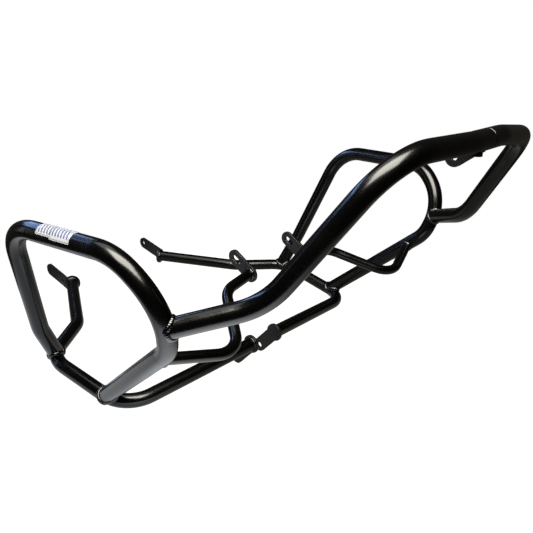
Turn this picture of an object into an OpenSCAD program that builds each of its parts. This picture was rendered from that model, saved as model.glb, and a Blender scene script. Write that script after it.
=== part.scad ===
// Crash bars for a motorcycle, millimetres.
// Two mirrored frames of bent steel tube, one for each side, meet in the middle of a front hoop.
// +X is the rider's left, -Y is the front of the motorcycle and +Z is up.
// The origin lies on the axis of the lower front bolt, midway between the two frames.
// A bend is placed by the corner where its two straight centre lines would cross:
// out is its distance from the middle, back is behind the bolt and up is above the bolt.

/* [Tube stock] */
// Outer diameter of the side loop tube
loop_d = 28; // [24:0.5:34]
// Outer diameter of the front hoop tube
hoop_d = 28; // [22:0.5:34]
// Outer diameter of the lower rail tube
rail_d = 25; // [20:0.5:30]
// Outer diameter of the brace tube
brace_d = 18; // [14:0.5:22]
// Wall of the loop and hoop tubes
loop_wall = 2; // [1.5:0.1:3.5]
// Wall of the lower rail tube
rail_wall = 2; // [1.5:0.1:3.5]
// Wall of the brace tube
brace_wall = 2; // [1.2:0.1:3.5]

/* [Side loop] */
// Height of the level top run of the loop
loop_top_up = 332; // [270:1:400]
// Rear top corner of the loop, out from the middle
loop_tail_out = 398; // [330:1:475]
// Rear top corner of the loop, back from the bolt
loop_tail_back = 79; // [60:1:100]
// Centre line radius of the rear top corner
loop_tail_r = 80; // [60:1:98]
// Front top corner of the loop, further in than the rear top corner
loop_brow_in = 24; // [0:1:45]
// Front top corner of the loop, ahead of the bolt
loop_brow_ahead = 142; // [110:1:165]
// Centre line radius of the front top corner
loop_brow_r = 78; // [60:1:88]
// Nose corner of the loop, further in than the front top corner
loop_nose_in = 21; // [10:1:34]
// Nose corner of the loop, further ahead than the front top corner
loop_nose_lead = 62; // [53:1:71]
// Nose corner of the loop, down from the top run
loop_nose_drop = 62; // [56:1:76]
// Centre line radius of the nose corner
loop_nose_r = 90; // [86:1:92]
// Chin corner of the loop, further in than the nose corner
loop_chin_in = 19; // [10:1:34]
// Chin corner of the loop, further back than the nose corner
loop_chin_back = 22; // [10:1:26]
// Chin corner of the loop, down from the nose corner
loop_chin_drop = 71; // [68:1:100]
// Centre line radius of the chin corner
loop_chin_r = 58; // [46:1:60]
// Rear knee of the loop, out from the middle
loop_knee_out = 339; // [310:1:390]
// Rear knee of the loop, back from the bolt
loop_knee_back = 157; // [130:1:190]
// Rear knee of the loop, up from the bolt
loop_knee_up = 121; // [100:1:145]
// Centre line radius of the rear knee
loop_knee_r = 100; // [60:1:120]
// Front foot of the loop, measured along the lower rail from the rail's front corner
loop_front_foot = 46; // [36:1:70]
// Rear foot of the loop, as a turn round the rail's rear corner
loop_rear_foot_turn = 20; // [8:1:40]

/* [Lower rail] */
// Rear end of the rail, out from the middle
rail_end_out = 125; // [100:1:150]
// Rear end of the rail, back from the bolt
rail_end_back = 428; // [355:1:510]
// Rear end of the rail, up from the bolt
rail_end_up = 64; // [52:1:78]
// Kick bend behind the loop, out from the middle
rail_kick_out = 219; // [180:1:262]
// Kick bend behind the loop, back from the bolt
rail_kick_back = 253; // [225:1:300]
// Kick bend behind the loop, up from the bolt
rail_kick_up = 56; // [45:1:68]
// Rear corner of the rail, out from the middle
rail_rear_out = 319; // [290:1:380]
// Rear corner of the rail, back from the bolt
rail_rear_back = 176; // [145:1:200]
// Rear corner of the rail, up from the bolt
rail_rear_up = 50; // [40:1:60]
// Centre line radius of the kick bend
rail_kick_r = 60; // [45:1:75]
// Centre line radius of the rear corner
rail_rear_r = 70; // [50:1:84]
// Front corner of the rail, out from the middle
rail_front_out = 300; // [248:1:360]
// Front corner of the rail, ahead of the bolt
rail_front_ahead = 13; // [10:1:16]
// Front corner of the rail, up from the bolt
rail_front_up = 20; // [16:1:26]
// Centre line radius of the front corner
rail_front_r = 60; // [45:1:75]
// Front end of the rail, out from the middle, where its plate starts
rail_nose_out = 35; // [28:1:45]

/* [Brace] */
// Foot of the brace, measured along the loop's lower leg from the chin corner
brace_foot = 43; // [34:1:55]
// Low bend of the brace, out from the middle
brace_low_out = 210; // [180:1:250]
// Low bend of the brace, ahead of the bolt
brace_low_ahead = 186; // [155:1:220]
// Low bend of the brace, up from the bolt
brace_low_up = 147; // [125:1:175]
// High bend of the brace, out from the middle
brace_high_out = 138; // [115:1:163]
// High bend of the brace, ahead of the bolt
brace_high_ahead = 85; // [70:1:101]
// High bend of the brace, up from the bolt
brace_high_up = 194; // [170:1:228]
// Centre line radius of the brace bends
brace_bend_r = 46; // [36:1:55]
// Inner end of the brace, out from the middle, where its plate starts
brace_end_out = 72.5; // [60:0.5:86]
// Inner end of the brace, ahead of the bolt
brace_end_ahead = 75; // [62:1:89]
// Inner end of the brace, up from the bolt
brace_end_up = 201; // [170:1:238]

/* [Front hoop] */
// Foot of the hoop, measured down the loop's nose from the nose corner
hoop_foot = 35; // [28:1:44]
// Low bend of the hoop, out from the middle
hoop_low_out = 269; // [225:1:320]
// Low bend of the hoop, ahead of the bolt
hoop_low_ahead = 292; // [270:1:345]
// Low bend of the hoop, up from the bolt
hoop_low_up = 274; // [230:1:325]
// Centre line radius of the low bend of the hoop
hoop_low_r = 110; // [80:1:135]
// High bend of the hoop, out from the middle
hoop_high_out = 198; // [165:1:235]
// High bend of the hoop, ahead of the bolt
hoop_high_ahead = 415; // [345:1:490]
// High bend of the hoop, up from the bolt
hoop_high_up = 457; // [400:1:540]
// Centre line radius of the high bend of the hoop
hoop_high_r = 85; // [65:1:101]
// The left half's high bend lies this much lower than the right half's
left_bend_lower = 20; // [0:1:30]
// The left half's high bend lies this much further back than the right half's
left_bend_back = 11; // [0:1:20]
// Middle of the hoop, ahead of the bolt
hoop_mid_ahead = 425; // [352:1:505]
// Middle of the hoop, up from the bolt
hoop_mid_up = 454; // [400:1:540]
// Length of the straight end of each half, which slides on the spigot
hoop_straight = 42; // [34:1:52]

/* [Slip joint] */
// Gap between the two halves of the hoop
seam_gap = 0.4; // [0.2:0.1:1]
// Chamfer round each half's end at the seam
seam_chamfer = 0.8; // [0.3:0.1:1.2]
// Length of the spigot to each side of the seam
spigot_half = 38; // [28:1:46]
// Bore of the tubular spigot
spigot_bore = 14; // [10:0.5:17]
// Clearance between the spigot and the tube's bore
spigot_clear = 0.15; // [0.1:0.05:0.3]
// Distance from the seam to the locking screw
screw_offset = 22; // [16:1:28]
// Thread diameter of the locking screw
screw_d = 8; // [6:0.5:10]
// Head diameter of the locking screw
screw_head_d = 13; // [11:0.5:15]
// Head height of the locking screw
screw_head_h = 5; // [3.5:0.5:7]
// Width across the flats of the screw's hexagon socket
screw_hex = 5; // [4:0.5:6]
// Depth of the screw's hexagon socket
screw_hex_depth = 3; // [2:0.5:3.4]
// Clearance of the screw in the tube wall
screw_clear = 0.3; // [0.2:0.05:0.6]

/* [Mounting plates] */
// Thickness of all the mounting plates
plate_t = 5; // [4:0.5:7]
// Width of the tab of each plate
tab_w = 27; // [22:0.5:32]
// Diameter of the disc that closes the rail's ends
rail_disc_d = 35; // [31:0.5:40]
// Diameter of the disc that closes the brace's end
brace_disc_d = 29; // [24:0.5:34]
// Diameter of the bolt holes
bolt_hole_d = 11; // [8:0.5:13]
// Reach of the lower front plate, from the disc's centre to the bolt hole
nose_tab_reach = 56; // [48:1:66]
// Slope of the lower front plate's tab below the level
nose_tab_slope = 46; // [38:1:55]
// Width of the slot in the brace's plate
slot_w = 9; // [7:0.5:11]
// Distance between the centres of the slot's two round ends
slot_travel = 11; // [8:1:13]
// Reach of the brace's plate, from the disc's centre to the outer end of its slot
brace_tab_reach = 42; // [36:1:50]
// Slope of the brace plate's tab above the level
brace_tab_slope = 31; // [25:1:37]
// Distance from the rear disc's centre to the fold of the rear plate
rear_fold_out = 9; // [7:0.5:11]
// Reach of the rear plate's tab, from the fold to the bolt hole
rear_tab_reach = 72; // [60:1:86]
// Slope of the rear plate's tab above the level
rear_tab_slope = 13; // [10:1:16]
// Diameter of the small drain hole beside the fold of the rear plate
drain_hole_d = 8; // [6:0.5:10]
// Distance from the fold to the drain hole
drain_hole_reach = 17; // [14:0.5:21]

/* [Hoop bracket] */
// Distance from the seam to the bracket that hangs under the hoop
bracket_offset = 6; // [4:0.5:9]
// Width of the bracket
bracket_w = 26; // [21:0.5:31]
// Reach of the bracket, from the tube's centre line to its bolt hole
bracket_reach = 44; // [36:1:52]
// Slope of the bracket below the level, towards the rear
bracket_slope = 36; // [30:1:43]
// Diameter of the bracket's bolt hole
bracket_hole_d = 9; // [7:0.5:11]

/* [Welds] */
// A coped tube end stops this far short of the centre line of the tube that it stands on
cope_short = 4; // [2:0.5:6]
// Leg of the weld beads where tubes meet
weld_leg = 3; // [2:0.1:4]
// Leg of the weld beads round the plates
plate_weld_leg = 3; // [2:0.1:3.6]

/* [Label] */
// Length of the blank label on the right loop's top run
label_l = 70; // [55:1:84]
// Distance from the rear top corner to the label
label_offset = 80; // [67:1:96]
// Turn of the label round the tube
label_turn = 112; // [90:1:135]
// Lean of the label's middle from the top of the tube to its outer side
label_lean = 23; // [0:1:40]
// Thickness of the label
label_t = 0.3; // [0.2:0.05:0.5]
// Thickness of the glue under the label
label_glue_t = 0.05; // [0.02:0.01:0.1]

/* [Hidden] */
$fn = 64;

right = -1;
left = 1;
coat = "#1b1b1c";
bead_coat = "#232324";
label_white = "#d9dde0";

// A bent stretch is this much thinner than the straights and laps into them by this much
bend_step = 0.08;
bend_lap = 0.6;
// A cutter reaches this far past the face that it cuts
past = 1;
// A length greater than any of the frame's own
frame_reach = 2000;
// The round of a fold ends this far inside the edges of its tab
fold_inset = 0.4;

function unit(v) = v / norm(v);
function bend_turn(p, i) = acos(unit(p[i] - p[i-1]) * unit(p[i+1] - p[i]));
function bend_cut(p, r, i) =
  (i <= 0 || i >= len(p) - 1) ? 0 : r[i] * tan(bend_turn(p, i) / 2);
function bend_axis(p, i) = unit(cross(unit(p[i] - p[i-1]), unit(p[i+1] - p[i])));
// The point on bend i after a turn of a degrees from its start
function bend_point(p, r, i, a) =
  let (t = unit(p[i] - p[i-1]), e = cross(t, bend_axis(p, i)))
  p[i] - t * bend_cut(p, r, i) - e * r[i] + r[i] * (e * cos(a) + t * sin(a));
// The end of a coped tube that stands at point a and runs towards point b
function coped_end(a, b) = a + cope_short * unit(b - a);
// The path p with its last point moved on by the given length
function overrun(p, length) =
  let (n = len(p) - 1)
  [for (i = [0 : n]) i < n ? p[i] : p[n] + length * unit(p[n] - p[n-1])];
function side_axis(t) = abs(t[2]) < 0.9 ? unit(cross([0, 0, 1], t)) : unit(cross([1, 0, 0], t));

// Corners of the lower rail, from its rear end to its front end
rail_nose_ahead = nose_tab_reach * cos(nose_tab_slope);
rail_nose_up = nose_tab_reach * sin(nose_tab_slope);
rail_path = [
  [rail_end_out, rail_end_back, rail_end_up],
  [rail_kick_out, rail_kick_back, rail_kick_up],
  [rail_rear_out, rail_rear_back, rail_rear_up],
  [rail_front_out, -rail_front_ahead, rail_front_up],
  [rail_nose_out, -rail_nose_ahead, rail_nose_up]
];
rail_radii = [0, rail_kick_r, rail_rear_r, rail_front_r, 0];

// Corners of the side loop, from its rear foot to its front foot
loop_foot_rear = bend_point(rail_path, rail_radii, 2, loop_rear_foot_turn);
loop_foot_front = rail_path[3] + loop_front_foot * unit(rail_path[2] - rail_path[3]);
loop_knee = [loop_knee_out, loop_knee_back, loop_knee_up];
loop_brow = [loop_tail_out - loop_brow_in, -loop_brow_ahead, loop_top_up];
loop_nose = loop_brow + [-loop_nose_in, -loop_nose_lead, -loop_nose_drop];
loop_chin = loop_nose + [-loop_chin_in, loop_chin_back, -loop_chin_drop];
loop_path = [
  coped_end(loop_foot_rear, loop_knee),
  loop_knee,
  [loop_tail_out, loop_tail_back, loop_top_up],
  loop_brow,
  loop_nose,
  loop_chin,
  coped_end(loop_foot_front, loop_chin)
];
loop_radii = [0, loop_knee_r, loop_tail_r, loop_brow_r, loop_nose_r, loop_chin_r, 0];

// Corners of the brace, from its foot on the loop to its inner end
brace_low = [brace_low_out, -brace_low_ahead, brace_low_up];
brace_path = [
  coped_end(loop_chin + brace_foot * unit(loop_path[6] - loop_chin), brace_low),
  brace_low,
  [brace_high_out, -brace_high_ahead, brace_high_up],
  [brace_end_out, -brace_end_ahead, brace_end_up]
];
brace_radii = [0, brace_bend_r, brace_bend_r, 0];

// Corners of a hoop half, from its foot on the loop to the middle
hoop_mid = [0, -hoop_mid_ahead, hoop_mid_up];
hoop_low = [hoop_low_out, -hoop_low_ahead, hoop_low_up];
function hoop_high(s) =
  [hoop_high_out, -hoop_high_ahead, hoop_high_up]
  + (s == left ? [0, left_bend_back, -left_bend_lower] : [0, 0, 0]);
function hoop_path(s) = [
  coped_end(loop_nose + hoop_foot * unit(loop_chin - loop_nose), hoop_low),
  hoop_low,
  hoop_high(s),
  hoop_mid + [hoop_straight, 0, 0],
  hoop_mid + [seam_gap / 2, 0, 0]
];
hoop_radii = [0, hoop_low_r, hoop_high_r, hoop_high_r, 0];

spigot_d = hoop_d - 2 * loop_wall - 2 * spigot_clear;
rail_rear_dir = unit(rail_path[0] - rail_path[1]);

module ring(d, wall) {
  difference() {
    circle(d = d);
    circle(d = d - 2 * wall);
  }
}

// Sets its children in axes ex, ey, ez at point c
module place(c, ex, ey, ez)
  multmatrix([
    [ex[0], ey[0], ez[0], c[0]],
    [ex[1], ey[1], ez[1], c[1]],
    [ex[2], ey[2], ez[2], c[2]],
    [0, 0, 0, 1]
  ]) children();

// Sets its children at point a with +Z along t
module aim(a, t) {
  s = side_axis(t);
  place(a, s, cross(t, s), t) children();
}

// One tube bent at the corners p with radii r. A wall of 0 makes a solid bar.
module bent_tube(p, r, d, wall) {
  for (i = [0 : len(p) - 2]) {
    t = unit(p[i+1] - p[i]);
    a = p[i] + t * bend_cut(p, r, i);
    b = p[i+1] - t * bend_cut(p, r, i + 1);
    aim(a, t) linear_extrude(norm(b - a)) section(d, wall);
  }
  for (i = [1 : len(p) - 2]) {
    t = unit(p[i] - p[i-1]);
    n = bend_axis(p, i);
    e = cross(t, n);
    lap = bend_lap / r[i] * 180 / PI;
    place(p[i] - t * bend_cut(p, r, i) - e * r[i], e, t, n)
      rotate([0, 0, -lap])
        rotate_extrude(angle = bend_turn(p, i) + 2 * lap)
          translate([r[i], 0]) section(d - 2 * bend_step, max(wall - 2 * bend_step, 0));
  }
}

module section(d, wall) {
  if (wall > 0) ring(d, wall);
  else circle(d = d);
}

module side(s)
  if (s == left) children();
  else mirror([1, 0, 0]) children();

// Solid bars that cope the tubes that stand on them
module loop_bar(extra = 0) bent_tube(loop_path, loop_radii, loop_d + 2 * extra, 0);
module rail_bar(extra = 0) bent_tube(rail_path, rail_radii, rail_d + 2 * extra, 0);

// Both feet of the loop are coped to the rail
module side_loop(s)
  color(coat) side(s) difference() {
    bent_tube(loop_path, loop_radii, loop_d, loop_wall);
    rail_bar();
  }

// Clears all that lies further in than the given distance from the middle
module inner_cutter(out)
  translate([out - frame_reach, -frame_reach / 2, -frame_reach / 2]) cube(frame_reach);

// The inner end is cut flush with its upright plate
module lower_rail(s)
  color(coat) side(s) difference() {
    bent_tube(overrun(rail_path, rail_d / 2), rail_radii, rail_d, rail_wall);
    inner_cutter(rail_nose_out);
  }

// The foot is coped to the loop, and the inner end is cut flush with its upright plate
module brace(s)
  color(coat) side(s) difference() {
    bent_tube(overrun(brace_path, brace_d / 2), brace_radii, brace_d, brace_wall);
    loop_bar();
    inner_cutter(brace_end_out);
  }

module hoop_tube(s)
  side(s) difference() {
    bent_tube(hoop_path(s), hoop_radii, hoop_d, loop_wall);
    loop_bar();
    translate(hoop_mid + [seam_gap / 2, 0, 0]) seam_cutter();
  }

// Takes the chamfer off the end of a hoop half
module seam_cutter()
  rotate([0, 90, 0]) rotate_extrude() polygon([
    [hoop_d / 2 - seam_chamfer, 0],
    [hoop_d / 2 + past, -past],
    [hoop_d / 2 + past, seam_chamfer + past]
  ]);

module right_hoop_half()
  color(coat) difference() {
    hoop_tube(right);
    screw_axis() translate([0, 0, -past]) cylinder(d = screw_d + 2 * screw_clear, h = hoop_d / 2 + past);
  }

module left_hoop_half()
  color(coat) hoop_tube(left);

// The screw points straight up into the hoop from its hidden underside
module screw_axis()
  translate(hoop_mid - [screw_offset, 0, 0]) rotate([180, 0, 0]) children();

module hoop_spigot()
  color(coat) difference() {
    translate(hoop_mid - [spigot_half, 0, 0]) rotate([0, 90, 0])
      cylinder(d = spigot_d, h = 2 * spigot_half);
    translate(hoop_mid - [spigot_half + past, 0, 0]) rotate([0, 90, 0])
      cylinder(d = spigot_bore, h = 2 * (spigot_half + past));
    screw_axis() cylinder(d = screw_d, h = hoop_d / 2);
  }

module joint_screw()
  color(coat) screw_axis() difference() {
    union() {
      translate([0, 0, spigot_bore / 2]) cylinder(d = screw_d, h = hoop_d / 2 - spigot_bore / 2);
      translate([0, 0, hoop_d / 2]) cylinder(d = screw_head_d, h = screw_head_h);
    }
    translate([0, 0, hoop_d / 2 + screw_head_h - screw_hex_depth])
      cylinder(d = screw_hex / cos(30), h = screw_hex_depth + past, $fn = 6);
  }

// A flat keyhole plate in the plane of X and Y: a disc, and a tab that reaches along +X
module keyhole(disc_d, reach)
  union() {
    circle(d = disc_d);
    translate([0, -tab_w / 2]) square([reach, tab_w]);
    translate([reach, 0]) circle(d = tab_w);
  }

// Turns a plate drawn in X and Y to stand lengthways, with its X axis towards the rear
module upright(slope)
  rotate([0, -90, 0]) rotate([0, 0, 90 - slope]) mirror([0, 1, 0]) children();

module nose_plate(s)
  color(coat) side(s) translate([rail_nose_out, -rail_nose_ahead, rail_nose_up])
    upright(-nose_tab_slope) linear_extrude(plate_t) difference() {
      keyhole(rail_disc_d, nose_tab_reach);
      translate([nose_tab_reach, 0]) circle(d = bolt_hole_d);
    }

module brace_plate(s)
  color(coat) side(s) translate([brace_end_out, -brace_end_ahead, brace_end_up])
    upright(brace_tab_slope) linear_extrude(plate_t) difference() {
      keyhole(brace_disc_d, brace_tab_reach);
      translate([brace_tab_reach, 0]) circle(d = slot_w);
      translate([brace_tab_reach - slot_travel, 0]) circle(d = slot_w);
      translate([brace_tab_reach - slot_travel, -slot_w / 2]) square([slot_travel, slot_w]);
    }

// The disc closes the rail square to its end, and the tab is folded back to lie lengthways
rear_fold_dir = unit([rail_rear_dir[1], -rail_rear_dir[0], 0]);
rear_fold = rail_path[0] + rail_rear_dir * plate_t / 2 + rear_fold_dir * rear_fold_out;
// The root of the sloping tab is vertical, along the fold
rear_root_lean = tab_w / 2 * tan(rear_tab_slope);
module rear_plate(s)
  color(coat) side(s) {
    aim(rail_path[0], rail_rear_dir) cylinder(d = rail_disc_d, h = plate_t);
    translate(rear_fold)
      cylinder(d = plate_t - 2 * bend_step, h = tab_w / cos(rear_tab_slope) - 2 * fold_inset, center = true);
    translate(rear_fold + [plate_t / 2, 0, 0]) upright(rear_tab_slope)
      linear_extrude(plate_t) difference() {
        union() {
          polygon([
            [-rear_root_lean, -tab_w / 2],
            [rear_tab_reach, -tab_w / 2],
            [rear_tab_reach, tab_w / 2],
            [rear_root_lean, tab_w / 2]
          ]);
          translate([rear_tab_reach, 0]) circle(d = tab_w);
        }
        translate([rear_tab_reach, 0]) circle(d = bolt_hole_d);
        translate([drain_hole_reach, 0]) circle(d = drain_hole_d);
      }
  }

// A bead on the face of a plate with normal n, round a tube of diameter d that leaves along t
module plate_weld(a, n, t, d)
  difference() {
    aim(a, n) cylinder(d1 = d + 2 * plate_weld_leg, d2 = d + plate_weld_leg / 2, h = plate_weld_leg);
    aim(a - t * d, t) cylinder(d = d, h = 3 * d);
  }

module plate_welds(s)
  color(bead_coat) side(s) {
    plate_weld(rail_path[0], -rail_rear_dir, -rail_rear_dir, rail_d);
    plate_weld(rail_path[4], [1, 0, 0], unit(rail_path[3] - rail_path[4]), rail_d);
    plate_weld(brace_path[3], [1, 0, 0], unit(brace_path[2] - brace_path[3]), brace_d);
  }

// A bead fills the corner between a tube's last straight and the bar that it stands on
module tube_bead(a, t, d)
  difference() {
    intersection() {
      aim(a, t) cylinder(d = d + 2 * weld_leg, h = 3 * d);
      children(1);
    }
    aim(a - t * past, t) cylinder(d = d, h = 3 * d + 2 * past);
    children(0);
  }

module tube_welds(s)
  color(bead_coat) side(s) {
    tube_bead(loop_path[0], unit(loop_path[1] - loop_path[0]), loop_d) {
      rail_bar();
      rail_bar(weld_leg);
    }
    tube_bead(loop_path[6], unit(loop_path[5] - loop_path[6]), loop_d) {
      rail_bar();
      rail_bar(weld_leg);
    }
    tube_bead(hoop_path(s)[0], unit(hoop_low - hoop_path(s)[0]), hoop_d) {
      loop_bar();
      loop_bar(weld_leg);
    }
    tube_bead(brace_path[0], unit(brace_path[1] - brace_path[0]), brace_d) {
      loop_bar();
      loop_bar(weld_leg);
    }
  }

module hoop_bracket()
  color(coat) difference() {
    translate(hoop_mid - [bracket_offset, 0, 0])
      upright(-bracket_slope) linear_extrude(plate_t) difference() {
        union() {
          translate([0, -bracket_w / 2]) square([bracket_reach, bracket_w]);
          translate([bracket_reach, 0]) circle(d = bracket_w);
        }
        translate([bracket_reach, 0]) circle(d = bracket_hole_d);
      }
    hoop_middle_bar(0);
  }

// The straight middle of the hoop as a solid bar
module hoop_middle_bar(extra)
  translate(hoop_mid - [hoop_straight, 0, 0]) rotate([0, 90, 0])
    cylinder(d = hoop_d + 2 * extra, h = 2 * hoop_straight);

module hoop_bracket_weld()
  color(bead_coat) difference() {
    intersection() {
      hoop_middle_bar(weld_leg);
      translate(hoop_mid - [bracket_offset - weld_leg, 0, 0])
        upright(-bracket_slope) linear_extrude(plate_t + 2 * weld_leg)
          translate([0, -bracket_w / 2]) square([bracket_reach, bracket_w]);
    }
    hoop_middle_bar(0);
    translate(hoop_mid - [bracket_offset, 0, 0]) upright(-bracket_slope)
      linear_extrude(plate_t) translate([-past, -bracket_w / 2 - past])
        square([bracket_reach + past, bracket_w + 2 * past]);
  }

module label() {
  t = unit(loop_path[3] - loop_path[2]);
  color(label_white) side(right)
    place(loop_path[2] + t * label_offset, cross(t, [0, 0, 1]), [0, 0, 1], t)
      rotate([0, 0, 90 + label_lean - label_turn / 2])
        rotate_extrude(angle = label_turn)
          translate([loop_d / 2 + label_glue_t, 0]) square([label_t, label_l]);
}

side_loop(right);  // right_side_loop
side_loop(left);  // left_side_loop
lower_rail(right);  // right_lower_rail
lower_rail(left);  // left_lower_rail
brace(right);  // right_brace
brace(left);  // left_brace
right_hoop_half();
left_hoop_half();
nose_plate(right);  // right_nose_plate
nose_plate(left);  // left_nose_plate
brace_plate(right);  // right_brace_plate
brace_plate(left);  // left_brace_plate
rear_plate(right);  // right_rear_plate
rear_plate(left);  // left_rear_plate
tube_welds(right);  // right_tube_welds
tube_welds(left);  // left_tube_welds
plate_welds(right);  // right_plate_welds
plate_welds(left);  // left_plate_welds
hoop_spigot();
joint_screw();
hoop_bracket();
hoop_bracket_weld();
label();
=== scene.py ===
"""Crash bars for a motorcycle, dressed for rendering.

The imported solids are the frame. The tubes, the plates and the screw are smoothed copies of their
solids, with rounded edges where the steel has them. The welds and the label are modelled here.
Metres, +X is the rider's left, -Y is the front of the motorcycle and +Z is up.
"""

import math

import bmesh
import bpy
from bpy.props import FloatProperty, FloatVectorProperty, IntProperty, PointerProperty
from mathutils import Matrix, Vector


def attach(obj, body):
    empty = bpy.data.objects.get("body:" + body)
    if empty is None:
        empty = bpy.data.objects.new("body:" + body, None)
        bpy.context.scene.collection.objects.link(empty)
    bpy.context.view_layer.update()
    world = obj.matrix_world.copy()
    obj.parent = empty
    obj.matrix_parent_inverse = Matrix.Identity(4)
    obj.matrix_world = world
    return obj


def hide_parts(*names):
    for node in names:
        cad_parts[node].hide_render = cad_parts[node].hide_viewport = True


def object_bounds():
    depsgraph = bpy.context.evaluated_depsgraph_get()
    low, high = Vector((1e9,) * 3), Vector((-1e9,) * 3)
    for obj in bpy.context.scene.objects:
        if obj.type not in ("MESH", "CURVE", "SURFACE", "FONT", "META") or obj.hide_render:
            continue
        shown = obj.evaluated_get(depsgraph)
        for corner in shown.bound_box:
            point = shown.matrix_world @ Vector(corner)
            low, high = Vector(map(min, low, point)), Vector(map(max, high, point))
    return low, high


bl_info = {
    "name": "Motorcycle crash bars",
    "version": (1, 0, 0),
    "blender": (4, 5, 0),
    "location": "3D View > Sidebar > Crash bars",
    "description": "Dresses the packed crash bars and sets up a studio round them",
    "category": "Object",
}

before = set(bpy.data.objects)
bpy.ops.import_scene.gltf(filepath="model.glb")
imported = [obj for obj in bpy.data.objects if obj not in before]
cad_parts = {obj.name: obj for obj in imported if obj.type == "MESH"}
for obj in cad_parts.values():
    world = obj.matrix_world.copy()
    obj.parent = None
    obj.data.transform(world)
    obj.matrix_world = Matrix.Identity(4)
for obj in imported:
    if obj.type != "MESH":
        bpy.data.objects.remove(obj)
CAD_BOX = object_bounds()

MM = 0.001
SIDES = {"right": -1.0, "left": 1.0}

# Corners of the centre lines on the rider's left, in millimetres, with the radius of each bend.
# The rail runs forwards from its rear end, and the loop from its tail over the top to its chin.
RAIL_CORNERS = [
    ((125, 428, 64), 0),
    ((219, 253, 56), 60),
    ((319, 176, 50), 70),
    ((300, -13, 20), 60),
    ((35, -38.9, 40.28), 0),
]
LOOP_CORNERS = [
    ((339, 157, 121), 100),
    ((398, 79, 332), 80),
    ((374, -142, 332), 78),
    ((353, -204, 270), 90),
    ((334, -182, 199), 58),
]
# Corners and ends of the brace and the hoop that a bead or the bracket needs, in millimetres
BRACE_FIRST_CORNER = (210, -186, 147)
BRACE_LAST_CORNER = (138, -85, 194)
BRACE_END = (72.5, -75, 201)
HOOP_FIRST_CORNER = (269, -292, 274)
HOOP_MIDDLE = (0, -425, 454)

# Radii of the three tubes, in millimetres. The hoop is bent from the loop's tube.
LOOP_R = 14.0
RAIL_R = 12.5
BRACE_R = 9.0
# Where the feet stand, in millimetres: along the rail from its front corner, down the loop's
# nose from the nose corner, and along the loop's lower leg from the chin corner
LOOP_FRONT_FOOT = 46.0
HOOP_FOOT = 35.0
BRACE_FOOT = 43.0
# The loop's rear foot, in degrees round the rail's rear corner
LOOP_REAR_FOOT = 20.0
# A coped tube starts this far from the centre line that it stands on, in millimetres
COPE_SHORT = 4.0
# The bracket under the hoop: where its inner and outer faces stand, in millimetres from the
# middle, how steeply it points down and how far its beads reach round the hoop, in degrees
BRACKET_INNER = -6.0
BRACKET_OUTER = -11.0
BRACKET_SLOPE = 36
BRACKET_BEAD_REACH = 66
# Glue under the label, in millimetres
LABEL_GLUE = 0.05
# The flat sheet is creased every so many degrees before it is rolled round the tube
LABEL_CUT_EVERY = 3
# A corner that turns by less than this, in radians, is no corner
STRAIGHT = 0.01

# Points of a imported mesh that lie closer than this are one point, in metres
SAME_POINT = 2e-6
# The pieces are shaded smooth up to this angle, and the beads up to the second, in degrees
SMOOTH = 32
BEAD_SMOOTH = 60
# Facets that turn by less than this are one flat face, in degrees
FLAT_WITHIN = 0.5
# An edge that is sharper than this gets rounded, in degrees
ROUNDED_FROM = 50
# Points round the foot of a tube that stands on a tube, and of one that ends on a plate
TUBE_FOOT_POINTS = 96
PLATE_FOOT_POINTS = 64
# A bead between tubes leans this much along the standing tube and sinks in by this share of its
# radius, and a bead on a plate stands clear of the corner by this share
TUBE_BEAD_LEAN = 0.6
TUBE_BEAD_SINK = 0.3
PLATE_BEAD_RISE = 0.2
# An open bead starts and ends at this share of its radius, and swells over this many rings
BEAD_END_SIZE = 0.45
BEAD_END_RINGS = 4
# Most of a noise pattern lies between these values
NOISE_LOW = 0.35
NOISE_HIGH = 0.65
# Widths of the coat's slow waves and faint specks and of the vinyl's clouds and grain, in metres
GLOSS_WAVE = 0.045
SPECK = 0.006
VINYL_CLOUD = 0.012
VINYL_GRAIN = 0.0009
VINYL_GRAIN_DEPTH = 0.000008
# Width of a pit, as a share of one dimple of the coat's orange peel
PIT_SHARE = 0.45
# The darkest and lightest speck and the darkest cloud, as shares of the colour round them
SPECK_DARK = 0.8
SPECK_LIGHT = 1.25
CLOUD_DARK = 0.93
# The noise values between which the vinyl's clouds blend
CLOUD_LOW = 0.3
CLOUD_HIGH = 0.7
# Scale of the wave pattern that makes the label's bars, and the values at which a bar's edge
# starts and is complete
BARS_SCALE = 4.0
BAR_EDGE = (0.45, 0.55)
# The floor lies this far under the bars, in metres
FLOOR_GAP = 0.001


class CoatSettings(bpy.types.PropertyGroup):
    """Black powder coat on the steel."""

    colour: FloatVectorProperty(
        name="Colour",
        description="Base colour of the powder coat",
        subtype="COLOR",
        size=3,
        min=0,
        max=1,
        default=(0.0013, 0.0013, 0.0014),
    )
    gloss_low: FloatProperty(
        name="Roughness, low",
        description="Roughness where the coat has flowed out best",
        default=0.18,
        min=0,
        max=1,
    )
    gloss_high: FloatProperty(
        name="Roughness, high",
        description="Roughness where the coat is driest",
        default=0.25,
        min=0,
        max=1,
    )
    peel_size: FloatProperty(
        name="Orange peel size",
        description="Width of one dimple of the coat's orange peel",
        default=0.0016,
        min=0.0002,
        unit="LENGTH",
    )
    peel_depth: FloatProperty(
        name="Orange peel depth",
        description="Depth of the coat's orange peel",
        default=0.000005,
        min=0,
        precision=6,
        unit="LENGTH",
    )
    edge_round: FloatProperty(
        name="Edge round",
        description="Radius that the coat leaves on the edges of the cut plates",
        default=0.0007,
        min=0.0001,
        max=0.0012,
        unit="LENGTH",
    )
    screw_round: FloatProperty(
        name="Screw edge round",
        description="Radius on the edges of the locking screw",
        default=0.0004,
        min=0.0001,
        max=0.0008,
        unit="LENGTH",
    )


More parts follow.
